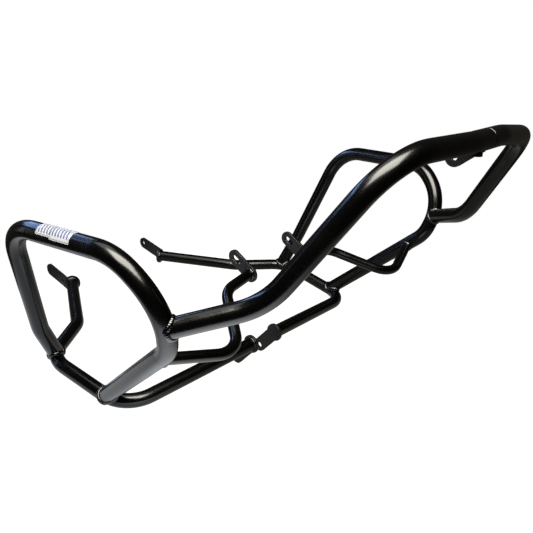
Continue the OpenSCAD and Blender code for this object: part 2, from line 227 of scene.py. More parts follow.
class WeldSettings(bpy.types.PropertyGroup):
    """Weld beads between the tubes and round the plates."""

    pitch: FloatProperty(
        name="Ripple pitch",
        description="Distance from one ripple of a bead to the next",
        default=0.0026,
        min=0.001,
        unit="LENGTH",
    )
    ripple: FloatProperty(
        name="Ripple height",
        description="How far a ripple stands out, as a share of the bead's radius",
        default=0.24,
        min=0,
        max=0.5,
    )
    tube_leg: FloatProperty(
        name="Tube bead",
        description="Radius of the beads where tubes meet",
        default=0.0039,
        min=0.001,
        unit="LENGTH",
    )
    plate_leg: FloatProperty(
        name="Plate bead",
        description="Radius of the beads round the plates",
        default=0.0022,
        min=0.001,
        unit="LENGTH",
    )
    steps: IntProperty(
        name="Steps",
        description="Rings of points along each ripple",
        default=5,
        min=3,
        max=10,
    )


class LabelSettings(bpy.types.PropertyGroup):
    """Printed label on the right loop's top run."""

    colour: FloatVectorProperty(
        name="Colour",
        description="Colour of the vinyl",
        subtype="COLOR",
        size=3,
        min=0,
        max=1,
        default=(0.74, 0.75, 0.77),
    )
    ink: FloatVectorProperty(
        name="Ink",
        description="Colour of the plain bars printed on the vinyl",
        subtype="COLOR",
        size=3,
        min=0,
        max=1,
        default=(0.15, 0.15, 0.25),
    )
    line: FloatVectorProperty(
        name="Border",
        description="Colour of the thin line inside the label's edge",
        subtype="COLOR",
        size=3,
        min=0,
        max=1,
        default=(0.22, 0.20, 0.15),
    )
    length: FloatProperty(
        name="Length",
        description="Length of the label along the tube",
        default=0.070,
        min=0.03,
        unit="LENGTH",
    )
    offset: FloatProperty(
        name="Offset",
        description="Distance from the loop's rear top corner to the label",
        default=0.083,
        min=0.06,
        unit="LENGTH",
    )
    low_edge: FloatProperty(
        name="Lower edge",
        description="How far round the tube the lower edge lies, from straight outwards",
        default=math.radians(7),
        unit="ROTATION",
    )
    high_edge: FloatProperty(
        name="Upper edge",
        description="How far round the tube the upper edge lies, from straight outwards",
        default=math.radians(117),
        unit="ROTATION",
    )
    step_at: FloatProperty(
        name="Step",
        description="Share of the length, from the rear, whose lower edge is cut higher",
        default=0.43,
        min=0.1,
        max=0.9,
    )
    step_up: FloatProperty(
        name="Step height",
        description="How much higher that part's lower edge is cut",
        default=0.0024,
        min=0.0005,
        unit="LENGTH",
    )
    corner: FloatProperty(
        name="Corner radius",
        description="Radius of the label's corners",
        default=0.0016,
        min=0.0002,
        unit="LENGTH",
    )
    thick: FloatProperty(
        name="Thickness",
        description="Thickness of the vinyl",
        default=0.0003,
        min=0.0001,
        unit="LENGTH",
    )
    roughness: FloatProperty(
        name="Roughness",
        description="Roughness of the vinyl",
        default=0.38,
        min=0,
        max=1,
    )
    border_in: FloatProperty(
        name="Border inset",
        description="Distance from the label's edge to the thin line",
        default=0.0014,
        min=0.0002,
        unit="LENGTH",
    )
    border_wide: FloatProperty(
        name="Border width",
        description="Width of the thin line",
        default=0.0007,
        min=0.0002,
        unit="LENGTH",
    )
    bars_low: FloatProperty(
        name="Bars from",
        description="Where the printed bars start, as a share of the label's height",
        default=0.22,
        min=0,
        max=1,
    )
    bars_high: FloatProperty(
        name="Bars to",
        description="Where the printed bars stop, as a share of the label's height",
        default=0.74,
        min=0,
        max=1,
    )
    bars_end: FloatProperty(
        name="Bars' margin",
        description="Distance from each end of the label to the printed bars",
        default=0.004,
        min=0.002,
        unit="LENGTH",
    )
    bars_lean: FloatProperty(
        name="Bars' lean",
        description="How far the printed bars lean",
        default=math.radians(-20),
        unit="ROTATION",
    )


class StageSettings(bpy.types.PropertyGroup):
    """Camera, floor and lights."""

    camera_place: FloatVectorProperty(
        name="Camera place",
        description="Where the camera stands",
        subtype="TRANSLATION",
        unit="LENGTH",
        size=3,
        default=(-0.7524, -0.7341, 0.5692),
    )
    camera_turn: FloatVectorProperty(
        name="Camera turn",
        description="How the camera is turned",
        subtype="EULER",
        unit="ROTATION",
        size=3,
        default=(
            math.radians(69.4876),
            math.radians(0.2296),
            math.radians(-47.7386),
        ),
    )
    lens: FloatProperty(
        name="Focal length",
        description="Focal length of the camera",
        default=40.44,
        min=10,
        unit="CAMERA",
    )
    sensor: FloatProperty(
        name="Sensor width",
        description="Width of the camera's sensor",
        default=36.0,
        min=10,
        unit="CAMERA",
    )
    floor_r: FloatProperty(
        name="Floor radius",
        description="Radius of the round floor",
        default=0.68,
        min=0.3,
        unit="LENGTH",
    )
    floor_glow: FloatProperty(
        name="Floor glow",
        description="Brightness of the lit table that serves as the floor, in the picture",
        default=1.2,
        min=0,
    )
    floor_dim: FloatProperty(
        name="Floor in the gloss",
        description="Brightness of the floor beyond the bright patch, as the bars mirror it",
        default=0.38,
        min=0,
    )
    floor_patch: FloatVectorProperty(
        name="Bright patch",
        description="Where the floor glows most, on the camera's side",
        subtype="TRANSLATION",
        unit="LENGTH",
        size=3,
        default=(-0.42, -0.30, 0),
    )
    floor_patch_r: FloatProperty(
        name="Patch radius",
        description="Radius over which the bright patch fades",
        default=0.42,
        min=0.05,
        unit="LENGTH",
    )
    floor_patch_glow: FloatProperty(
        name="Patch glow",
        description="Brightness in the middle of the bright patch",
        default=4.1,
        min=0,
    )
    strip_from: FloatProperty(
        name="Lit strip",
        description="The floor's long lit strip reaches from the camera's side to here",
        default=-0.32,
        unit="LENGTH",
    )
    strip_to: FloatProperty(
        name="Strip's end",
        description="Where the lit strip has faded out",
        default=-0.12,
        unit="LENGTH",
    )
    strip_glow: FloatProperty(
        name="Strip glow",
        description="Brightness of the lit strip, as the bars mirror it",
        default=1.0,
        min=0,
    )
    floor_near: FloatVectorProperty(
        name="Near floor",
        description="Colour of the floor's light on the camera's side",
        subtype="COLOR",
        size=3,
        min=0,
        default=(0.96, 1.0, 1.05),
    )
    floor_far: FloatVectorProperty(
        name="Far floor",
        description="Colour of the floor's light on the far side",
        subtype="COLOR",
        size=3,
        min=0,
        default=(1.0, 0.95, 0.84),
    )
    black_level: FloatProperty(
        name="Black level",
        description="Brightness that the picture shows as black",
        default=0.001,
        min=0,
        max=0.1,
        precision=4,
    )
    air_dim: FloatProperty(
        name="Room",
        description="Brightness of the unlit room, as the bars mirror it",
        default=0.05,
        min=0,
        max=1,
    )
    air_colour: FloatVectorProperty(
        name="Room colour",
        description="Colour of the unlit room",
        subtype="COLOR",
        size=3,
        min=0,
        max=1,
        default=(1.0, 0.94, 0.82),
    )


def settings():
    """The settings of the crash bars in this scene."""
    return bpy.context.scene.crash_bars


def vec(p):
    """A point given in millimetres, in metres."""
    return Vector(p) * MM


def bend(corners, i):
    """Bend i of a centre line: its angle, axis and centre, and the arm from there to its start."""
    points = [vec(corner) for corner, _ in corners]
    before = (points[i] - points[i - 1]).normalized()
    after = (points[i + 1] - points[i]).normalized()
    turn = before.angle(after)
    radius = corners[i][1] * MM
    axis = before.cross(after).normalized()
    outward = before.cross(axis)
    centre = points[i] - before * radius * math.tan(turn / 2) - outward * radius
    return turn, axis, centre, outward * radius


def centre_line(corners, step=math.radians(3)):
    """Points along a bent tube's centre line. A corner is a point and the radius of its bend."""
    line = [vec(corners[0][0])]
    for i in range(1, len(corners) - 1):
        turn, axis, centre, arm = bend(corners, i)
        count = max(2, math.ceil(turn / step))
        for k in range(count + 1):
            line.append(centre + Matrix.Rotation(turn * k / count, 3, axis) @ arm)
    line.append(vec(corners[-1][0]))
    return line


def on_bend(corners, i, degrees):
    """The point on bend i of a centre line after that many degrees from the bend's start."""
    _, axis, centre, arm = bend(corners, i)
    return centre + Matrix.Rotation(math.radians(degrees), 3, axis) @ arm


def toward(a, b, mm):
    """The point that many millimetres from a towards b, all in metres."""
    return a + (b - a).normalized() * mm * MM


def line_gap(point, line):
    """Shortest distance from a point to a centre line."""
    best = math.inf
    for a, b in zip(line, line[1:]):
        along = b - a
        share = min(1.0, max(0.0, (point - a).dot(along) / along.length_squared))
        best = min(best, (point - a - along * share).length)
    return best


def stretch_near(line, place, reach=0.12):
    """The stretch of a centre line within reach of a place, with one more point at each end."""
    near = [i for i, point in enumerate(line) if (point - place).length < reach]
    return line[max(0, near[0] - 1) : near[-1] + 2]


RAIL_END, RAIL_KNEE, RAIL_REAR, RAIL_FRONT, RAIL_NOSE = [vec(corner) for corner, _ in RAIL_CORNERS]
LOOP_TAIL, LOOP_TOP, LOOP_BROW, LOOP_NOSE, LOOP_CHIN = [vec(corner) for corner, _ in LOOP_CORNERS]
REAR_FOOT = on_bend(RAIL_CORNERS, 2, LOOP_REAR_FOOT)
FRONT_FOOT = toward(RAIL_FRONT, RAIL_REAR, LOOP_FRONT_FOOT)
HOOP_START = toward(LOOP_NOSE, LOOP_CHIN, HOOP_FOOT)
BRACE_START = toward(LOOP_CHIN, FRONT_FOOT, BRACE_FOOT)
RAIL_LINE = centre_line(RAIL_CORNERS)
LOOP_LINE = centre_line(
    [(tuple(REAR_FOOT / MM), 0), *LOOP_CORNERS, (tuple(FRONT_FOOT / MM), 0)]
)


def mirrored(obj, sign):
    """Turns a piece made on the rider's left over to the given side."""
    if sign < 0:
        bm = bmesh.new()
        bm.from_mesh(obj.data)
        bmesh.ops.scale(bm, vec=(-1, 1, 1), verts=bm.verts)
        bmesh.ops.reverse_faces(bm, faces=bm.faces)
        bm.to_mesh(obj.data)
        bm.free()
    return obj


def piece_from(bm, name, material, smooth=SMOOTH):
    """Makes a finished piece of the mesh, at the origin, shaded smooth up to that angle."""
    for face in bm.faces:
        face.smooth = True
    for edge in bm.edges:
        edge.smooth = edge.calc_face_angle(0) <= math.radians(smooth)
    mesh = bpy.data.meshes.new(name)
    bm.to_mesh(mesh)
    bm.free()
    mesh.materials.append(material)
    obj = bpy.data.objects.new(name, mesh)
    bpy.context.scene.collection.objects.link(obj)
    return obj


def solid_copy(node):
    """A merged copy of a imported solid's mesh."""
    bm = bmesh.new()
    bm.from_mesh(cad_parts[node].data)
    bmesh.ops.remove_doubles(bm, verts=bm.verts, dist=SAME_POINT)
    return bm


def feed(tree, value, socket):
    """Links an output to the input, or sets the input to a number or colour."""
    if isinstance(value, bpy.types.NodeSocket):
        tree.links.new(value, socket)
    else:
        socket.default_value = value


def add_node(tree, kind, place, **values):
    """A new node at that place in the tree's picture, with those values on the node itself."""
    node = tree.nodes.new(kind)
    node.location = place
    for name, value in values.items():
        setattr(node, name, value)
    return node


def add_noise(tree, coordinates, size, place, detail=1.0, roughness=0.5):
    """A noise pattern whose features are about size metres wide."""
    noise = add_node(tree, "ShaderNodeTexNoise", place)
    noise.inputs["Scale"].default_value = 1.0 / size
    noise.inputs["Detail"].default_value = detail
    noise.inputs["Roughness"].default_value = roughness
    tree.links.new(coordinates.outputs["Object"], noise.inputs["Vector"])
    return noise.outputs["Fac"]


def add_range(tree, value, given, wanted, place, kind="LINEAR"):
    """Maps a value from the given range, low to high, to the wanted one."""
    node = add_node(tree, "ShaderNodeMapRange", place, interpolation_type=kind)
    node.inputs["From Min"].default_value, node.inputs["From Max"].default_value = given
    node.inputs["To Min"].default_value, node.inputs["To Max"].default_value = wanted
    tree.links.new(value, node.inputs["Value"])
    return node.outputs["Result"]


def add_tone(tree, value, low, dark, high, light, place):
    """Turns a value to a colour: dark up to low, light from high on, and blended between."""
    tone = add_node(tree, "ShaderNodeValToRGB", place)
    stops = tone.color_ramp.elements
    stops[0].position, stops[0].color = low, (*dark, 1)
    stops[1].position, stops[1].color = high, (*light, 1)
    tree.links.new(value, tone.inputs["Fac"])
    return tone.outputs["Color"]


def add_math(tree, operation, first, second, place):
    """Works out two values, each an output or a number."""
    node = add_node(tree, "ShaderNodeMath", place, operation=operation)
    feed(tree, first, node.inputs[0])
    feed(tree, second, node.inputs[1])
    return node.outputs["Value"]


def add_mix(tree, amount, under, over, place):
    """Lays one colour over another by that amount. Each is an output or a colour."""
    node = add_node(tree, "ShaderNodeMix", place, data_type="RGBA")
    tree.links.new(amount, node.inputs["Factor"])
    feed(tree, under, node.inputs["A"])
    feed(tree, over, node.inputs["B"])
    return node.outputs["Result"]


def add_bump(tree, height, depth, place, onto=None):
    """Bump from a height pattern, depth metres deep."""
    node = add_node(tree, "ShaderNodeBump", place)
    node.inputs["Strength"].default_value = 1.0
    node.inputs["Distance"].default_value = depth
    tree.links.new(height, node.inputs["Height"])
    if onto is not None:
        tree.links.new(onto, node.inputs["Normal"])
    return node.outputs["Normal"]


def shader(name):
    """A new node material. Returns the material, its tree, its shader and a coordinate node."""
    material = bpy.data.materials.new(name)
    material.use_nodes = True
    tree = material.node_tree
    bsdf = next(n for n in tree.nodes if n.type == "BSDF_PRINCIPLED")
    return material, tree, bsdf, add_node(tree, "ShaderNodeTexCoord", (-1100, 0))


def powder_coat(name, shade=1.0, dry=0.0, pits=0.0, ior=1.37):
    """Black powder coat: fine orange peel, slow waves in gloss, and a few pits where asked for.

    shade multiplies its colour, dry adds to its roughness and pits is their depth in metres.
    """
    coat = settings().coat
    material, tree, bsdf, coordinates = shader(name)
    bsdf.inputs["IOR"].default_value = ior
    spread = (NOISE_LOW, NOISE_HIGH)
    waves = add_noise(tree, coordinates, GLOSS_WAVE, (-900, 300), detail=3.0)
    sheen = (coat.gloss_low + dry, coat.gloss_high + dry)
    gloss = add_range(tree, waves, spread, sheen, (-500, 300))
    tree.links.new(gloss, bsdf.inputs["Roughness"])
    specks = add_noise(tree, coordinates, SPECK, (-900, 0), detail=4.0)
    dark = [c * shade * SPECK_DARK for c in coat.colour]
    light = [c * shade * SPECK_LIGHT for c in coat.colour]
    tone = add_tone(tree, specks, NOISE_LOW, dark, NOISE_HIGH, light, (-600, 0))
    tree.links.new(tone, bsdf.inputs["Base Color"])
    peel = add_noise(tree, coordinates, coat.peel_size, (-900, -300))
    normal = add_bump(tree, peel, coat.peel_depth, (-500, -300))
    if pits > 0:
        pit = coat.peel_size * PIT_SHARE
        grit = add_noise(tree, coordinates, pit, (-900, -600), detail=2.0, roughness=0.7)
        normal = add_bump(tree, grit, pits, (-250, -450), normal)
    tree.links.new(normal, bsdf.inputs["Normal"])
    return material


class CRASHBARS_OT_mix_finishes(bpy.types.Operator):
    """Mixes the powder coats, the screw's oxide and the vinyl, and coats the solids"""

    bl_idname = "crashbars.mix_finishes"
    bl_label = "Mix the finishes"

    def execute(self, context):
        tube = powder_coat("tube_coat")
        plate = powder_coat("plate_coat", shade=10.0, dry=0.09, pits=0.00001)
        powder_coat("weld_coat", shade=1.2, dry=-0.08, pits=0.00004, ior=1.5)
        powder_coat("screw_oxide", shade=1.6, dry=0.02, pits=0.000006)
        self.vinyl()
        for name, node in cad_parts.items():
            chosen = plate if "plate" in name or "bracket" in name else tube
            for place in node.material_slots:
                place.material = chosen
        return {"FINISHED"}

    def vinyl(self):
        """White vinyl, a little uneven, with a thin border and a row of plain slanted bars."""
        label = settings().label
        _, tree, bsdf, coordinates = shader("label_vinyl")
        bsdf.inputs["Roughness"].default_value = label.roughness
        cloud = add_noise(tree, coordinates, VINYL_CLOUD, (-900, 0), detail=3.0)
        shaded = [c * CLOUD_DARK for c in label.colour]
        colour = add_tone(tree, cloud, CLOUD_LOW, shaded, CLOUD_HIGH, label.colour, (-600, 0))
        leaning = add_node(tree, "ShaderNodeMapping", (-900, 600))
        leaning.inputs["Rotation"].default_value = (0, 0, label.bars_lean)
        tree.links.new(coordinates.outputs["UV"], leaning.inputs["Vector"])
        wave = add_node(tree, "ShaderNodeTexWave", (-700, 600))
        wave.inputs["Scale"].default_value = BARS_SCALE
        tree.links.new(leaning.outputs["Vector"], wave.inputs["Vector"])
        stripes = add_range(tree, wave.outputs["Fac"], BAR_EDGE, (0.0, 1.0), (-500, 600))
        band = add_node(tree, "ShaderNodeAttribute", (-700, 400), attribute_name="bar")
        bars = add_math(tree, "MULTIPLY", stripes, band.outputs["Fac"], (-300, 600))
        colour = add_mix(tree, bars, colour, (*label.ink, 1), (-100, 400))
        border = add_node(tree, "ShaderNodeAttribute", (-700, 200), attribute_name="border")
        colour = add_mix(tree, border.outputs["Fac"], colour, (*label.line, 1), (-100, 200))
        tree.links.new(colour, bsdf.inputs["Base Color"])
        grain = add_noise(tree, coordinates, VINYL_GRAIN, (-900, -300))
        normal = add_bump(tree, grain, VINYL_GRAIN_DEPTH, (-500, -300))
        tree.links.new(normal, bsdf.inputs["Normal"])


def dress(node, name, material, edge_round=0.0):
    """Replaces a solid with its merged copy, shaded smooth, with rounded edges where asked for."""
    bm = solid_copy(node)
    if edge_round > 0:
        bmesh.ops.dissolve_limit(
            bm,
            angle_limit=math.radians(FLAT_WITHIN),
            use_dissolve_boundaries=False,
            verts=bm.verts,
            edges=bm.edges,
        )
    obj = piece_from(bm, name, bpy.data.materials[material])
    if edge_round > 0:
        rounding = obj.modifiers.new("rounded edges", "BEVEL")
        rounding.width = edge_round
        rounding.segments = 3
        rounding.limit_method = "ANGLE"
        rounding.angle_limit = math.radians(ROUNDED_FROM)
        rounding.harden_normals = True
    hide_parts(node)
    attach(obj, "root")


class CRASHBARS_OT_dress_tubes(bpy.types.Operator):
    """Smooths the loops, rails, braces, hoop halves and the spigot inside the hoop"""

    bl_idname = "crashbars.dress_tubes"
    bl_label = "Dress the tubes"

    def execute(self, context):
        for side in SIDES:
            for part in ("side_loop", "lower_rail", "brace", "hoop_half"):
                dress(f"{side}_{part}", f"{side}_{part}_coated", "tube_coat")
        dress("hoop_spigot", "hoop_spigot_coated", "tube_coat")
        return {"FINISHED"}


class CRASHBARS_OT_dress_plates(bpy.types.Operator):
    """Rounds the edges of the mounting plates and the bracket, and dresses the screw"""

    bl_idname = "crashbars.dress_plates"
    bl_label = "Dress the plates"

    def execute(self, context):
        coat = settings().coat
        plates = [f"{side}_{part}_plate" for side in SIDES for part in ("nose", "brace", "rear")]
        for node in (*plates, "hoop_bracket"):
            dress(node, f"{node}_coated", "plate_coat", coat.edge_round)
        dress("joint_screw", "joint_screw_black", "screw_oxide", coat.screw_round)
        return {"FINISHED"}


def across(along):
    """A direction square to the given one."""
    other = Vector((0, 0, 1)) if abs(along.z) < 0.9 else Vector((1, 0, 0))
    return along.cross(other).normalized()


def foot_ring(start, along, tube_r, gap, count, lowest=-0.02, highest=0.06, halvings=30):
    """Points where a tube's skin meets what it stands on, with the outward direction at each.

    gap(point) is the distance from the point to the skin of what the tube stands on. Where the
    tube's skin runs past beside it, the ring stays at the tube's end, lowest metres along.
    """
    u = across(along)
    v = along.cross(u)
    ring = []
    for k in range(count):
        angle = math.tau * k / count
        out = u * math.cos(angle) + v * math.sin(angle)
        near, far = lowest, highest
        for _ in range(halvings):
            middle = (near + far) / 2
            if gap(start + out * tube_r + along * middle) > 0:
                far = middle
            else:
                near = middle
        ring.append((start + out * tube_r + along * near, out))
    return ring


def even_ring(ring, spacing, closed=True):
    """The same line of points and directions, spaced evenly."""
    line = [*ring, ring[0]] if closed else ring
    lengths = [0.0]
    for (a, _), (b, _) in zip(line, line[1:]):
        lengths.append(lengths[-1] + (b - a).length)
    count = max(8, round(lengths[-1] / spacing))
    spots, i = [], 0
    for k in range(count if closed else count + 1):
        target = lengths[-1] * k / count
        while i < len(lengths) - 2 and lengths[i + 1] < target:
            i += 1
        share = (target - lengths[i]) / max(lengths[i + 1] - lengths[i], 1e-9)
        (here, out), (ahead, out_ahead) = line[i], line[i + 1]
        spots.append((here.lerp(ahead, share), out.lerp(out_ahead, share).normalized()))
    return spots


def bead(bm, spots, radius, closed=True, sides=10):
    """Lays a rippled bead along the spots by extruding one ring of points."""
    weld = settings().weld
    count = len(spots)

    def place(i):
        """Where ring i stands: across the bead, with its ripple."""
        here, out = spots[i % count]
        ahead = spots[(i + 1) % count][0] if closed or i < count - 1 else here
        behind = spots[i - 1][0] if closed or i > 0 else here
        along = (ahead - behind).normalized()
        outward = (out - along * out.dot(along)).normalized()
        ripple = (i % weld.steps) / weld.steps
        size = 1.0 + weld.ripple * (math.sqrt(1 - ripple * ripple) - 0.5)
        if not closed:
            swell = min(i, count - 1 - i) / BEAD_END_RINGS
            size *= min(1.0, BEAD_END_SIZE + (1 - BEAD_END_SIZE) * swell)
        turn = Matrix((outward.cross(along), outward, along)).transposed().to_4x4()
        return Matrix.Translation(here) @ turn @ Matrix.Scale(radius * size, 4)

    before = place(0)
    first = bmesh.ops.create_circle(bm, cap_ends=False, segments=sides, radius=1.0, matrix=before)
    start = edges = list({e for v in first["verts"] for e in v.link_edges})
    for i in range(1, count):
        grown = bmesh.ops.extrude_edge_only(bm, edges=edges)["geom"]
        verts = [g for g in grown if isinstance(g, bmesh.types.BMVert)]
        edges = [g for g in grown if isinstance(g, bmesh.types.BMEdge)]
        after = place(i)
        bmesh.ops.transform(bm, matrix=after @ before.inverted(), verts=verts)
        before = after
    if closed:
        bmesh.ops.bridge_loops(bm, edges=start + edges)
    else:
        bmesh.ops.holes_fill(bm, edges=start + edges, sides=sides)


class CRASHBARS_OT_lay_welds(bpy.types.Operator):
    """Lays rippled beads where tubes meet, round the plates and beside the hoop's bracket"""

    bl_idname = "crashbars.lay_welds"
    bl_label = "Lay the welds"

    def execute(self, context):
        for side, sign in SIDES.items():
            self.tube_beads(side, sign)
            self.plate_beads(side, sign)
        self.bracket_beads()
        return {"FINISHED"}

    def tube_beads(self, side, sign):
        """A bead round each tube that stands on another: the loop, the hoop and the brace."""
        weld = settings().weld
        bm = bmesh.new()
        for start, aim, tube_r, line, bar_r in (
            (REAR_FOOT, LOOP_TAIL, LOOP_R, RAIL_LINE, RAIL_R),
            (FRONT_FOOT, LOOP_CHIN, LOOP_R, RAIL_LINE, RAIL_R),
            (HOOP_START, vec(HOOP_FIRST_CORNER), LOOP_R, LOOP_LINE, LOOP_R),
            (BRACE_START, vec(BRACE_FIRST_CORNER), BRACE_R, LOOP_LINE, LOOP_R),
        ):
            along = (aim - start).normalized()
            bar = stretch_near(line, start)
            ring = foot_ring(
                start,
                along,
                tube_r * MM,
                lambda p: line_gap(p, bar) - bar_r * MM,
                TUBE_FOOT_POINTS,
                COPE_SHORT * MM,
            )
            sunk = []
            for point, out in ring:
                lean = (out + along * TUBE_BEAD_LEAN).normalized()
                sunk.append((point - lean * weld.tube_leg * TUBE_BEAD_SINK, out))
            bead(bm, even_ring(sunk, weld.pitch / weld.steps), weld.tube_leg)
        self.finish_bead(bm, f"{side}_tube_beads", f"{side}_tube_welds", sign)

    def plate_beads(self, side, sign):
        """A bead round each tube that ends square on a plate."""
        weld = settings().weld
        bm = bmesh.new()
        inward = (RAIL_KNEE - RAIL_END).normalized()
        left = Vector((1, 0, 0))
        brace_end = vec(BRACE_END)
        for start, normal, along, tube_r in (
            (RAIL_END, inward, inward, RAIL_R),
            (RAIL_NOSE, left, (RAIL_FRONT - RAIL_NOSE).normalized(), RAIL_R),
            (brace_end, left, (vec(BRACE_LAST_CORNER) - brace_end).normalized(), BRACE_R),
        ):
            ring = foot_ring(
                start, along, tube_r * MM, lambda p: (p - start).dot(normal), PLATE_FOOT_POINTS
            )
            raised = []
            for point, out in ring:
                clear = (out + normal).normalized()
                raised.append((point + clear * weld.plate_leg * PLATE_BEAD_RISE, out))
            bead(bm, even_ring(raised, weld.pitch / weld.steps), weld.plate_leg)
        self.finish_bead(bm, f"{side}_plate_beads", f"{side}_plate_welds", sign)

    def bracket_beads(self, steps=24):
        """Two short beads along the bracket, on the underside of the hoop."""
        weld = settings().weld
        middle = vec(HOOP_MIDDLE)
        slope = math.radians(BRACKET_SLOPE)
        down = Vector((0, math.cos(slope), -math.sin(slope)))
        sideways = Vector((1, 0, 0)).cross(down)
        bm = bmesh.new()
        for face, away in ((BRACKET_INNER, 1), (BRACKET_OUTER, -1)):
            ring = []
            for k in range(steps + 1):
                angle = math.radians(-BRACKET_BEAD_REACH + 2 * BRACKET_BEAD_REACH * k / steps)
                radial = down * math.cos(angle) + sideways * math.sin(angle)
                point = Vector((face * MM, middle.y, middle.z)) + radial * LOOP_R * MM
                ring.append((point, (Vector((away, 0, 0)) + radial).normalized()))
            bead(bm, even_ring(ring, weld.pitch / weld.steps, False), weld.plate_leg, False)
        self.finish_bead(bm, "hoop_bracket_beads", "hoop_bracket_weld", 1)

    def finish_bead(self, bm, name, node, sign):
        """Makes a piece of the beads and turns it over to its side."""
        bmesh.ops.recalc_face_normals(bm, faces=bm.faces)
        obj = mirrored(piece_from(bm, name, bpy.data.materials["weld_coat"], BEAD_SMOOTH), sign)
        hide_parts(node)
        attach(obj, "root")


class CRASHBARS_OT_stick_label(bpy.types.Operator):
    """Sticks a vinyl label with rounded corners round the right loop's top run"""

    bl_idname = "crashbars.stick_label"
    bl_label = "Stick the label"

    def execute(self, context):
        label = settings().label
        radius = (LOOP_R + LABEL_GLUE) * MM
        low, high = label.low_edge * radius, label.high_edge * radius
        bm = bmesh.new()
        self.cut_outline(bm, low, high)
        self.mark_print(bm, low, high)
        first, last = math.degrees(label.low_edge), math.degrees(label.high_edge)
        for turn in range(math.floor(first), math.ceil(last), LABEL_CUT_EVERY):
            self.crease(bm, 1, math.radians(turn) * radius)
        uv = bm.loops.layers.uv.new("label")
        for face in bm.faces:
            for loop in face.loops:
                x, y, _ = loop.vert.co
                loop[uv].uv = (x / label.length, (y - low) / label.length)
        self.wrap(bm, radius)
        obj = piece_from(bm, "label_vinyl_sheet", bpy.data.materials["label_vinyl"])
        sheet = mirrored(obj, SIDES["right"]).modifiers.new("vinyl", "SOLIDIFY")
        sheet.thickness = label.thick
        sheet.offset = 1
        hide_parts("label")
        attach(obj, "root")
        return {"FINISHED"}

    def crease(self, bm, axis, place):
        """Cuts the flat sheet's faces across at x (axis 0) or y (axis 1), and keeps both sides."""
        square = Vector((0, 0, 0))
        square[axis] = 1
        bmesh.ops.bisect_plane(
            bm,
            geom=bm.verts[:] + bm.edges[:] + bm.faces[:],
            dist=1e-7,
            plane_co=square * place,
            plane_no=square,
        )

    def cut_outline(self, bm, low, high):
        """One flat face: x runs along the tube and y round it. The rear part is cut higher."""
        label = settings().label
        step_x, step_y = label.step_at * label.length, low + label.step_up
        bmesh.ops.create_grid(bm, x_segments=2, y_segments=2, size=1)
        for vert in bm.verts:
            column, row = round(vert.co.x) + 1, round(vert.co.y) + 1
            vert.co.x = (0, step_x, label.length)[column]
            vert.co.y = (low, step_y, high)[row]
        middles = {face: face.calc_center_median() for face in bm.faces}
        cut = [face for face, middle in middles.items() if middle.x < step_x and middle.y < step_y]
        bmesh.ops.delete(bm, geom=cut, context="FACES")
        bmesh.ops.dissolve_faces(bm, faces=bm.faces[:])
        straight = [v for v in bm.verts if v.calc_edge_angle(0) < STRAIGHT]
        bmesh.ops.dissolve_verts(bm, verts=straight)
        bmesh.ops.bevel(
            bm,
            geom=bm.verts[:],
            offset=label.corner,
            offset_type="OFFSET",
            segments=6,
            profile=0.5,
            affect="VERTICES",
            material=-1,
        )

    def mark_print(self, bm, low, high):
        """Marks the faces of the border line and of the band that holds the bars."""
        label = settings().label
        border = bm.faces.layers.float.new("border")
        bar = bm.faces.layers.float.new("bar")
        bmesh.ops.inset_region(
            bm,
            faces=bm.faces[:],
            thickness=label.border_in,
            use_boundary=True,
            use_even_offset=True,
        )
        inner = max(bm.faces, key=lambda face: face.calc_area())
        line = bmesh.ops.inset_region(
            bm, faces=[inner], thickness=label.border_wide, use_even_offset=True
        )
        for face in line["faces"]:
            face[border] = 1.0
        bottom = low + label.bars_low * (high - low)
        top = low + label.bars_high * (high - low)
        rear, front = label.bars_end, label.length - label.bars_end
        for axis, places in ((1, (bottom, top)), (0, (rear, front))):
            for place in places:
                self.crease(bm, axis, place)
        for face in bm.faces:
            middle = face.calc_center_median()
            if rear < middle.x < front and bottom < middle.y < top:
                face[bar] = 1.0

    def wrap(self, bm, radius):
        """Rolls the flat sheet round the left loop's top run, from its rear corner forwards."""
        along = (LOOP_BROW - LOOP_TOP).normalized()
        up = Vector((0, 0, 1))
        outward = up.cross(along)
        offset = settings().label.offset
        for vert in bm.verts:
            turn = vert.co.y / radius
            radial = outward * math.cos(turn) + up * math.sin(turn)
            vert.co = LOOP_TOP + along * (offset + vert.co.x) + radial * radius
        # The rolled sheet's print faces the tube until its faces are turned over
        bmesh.ops.reverse_faces(bm, faces=bm.faces)
        bm.normal_update()


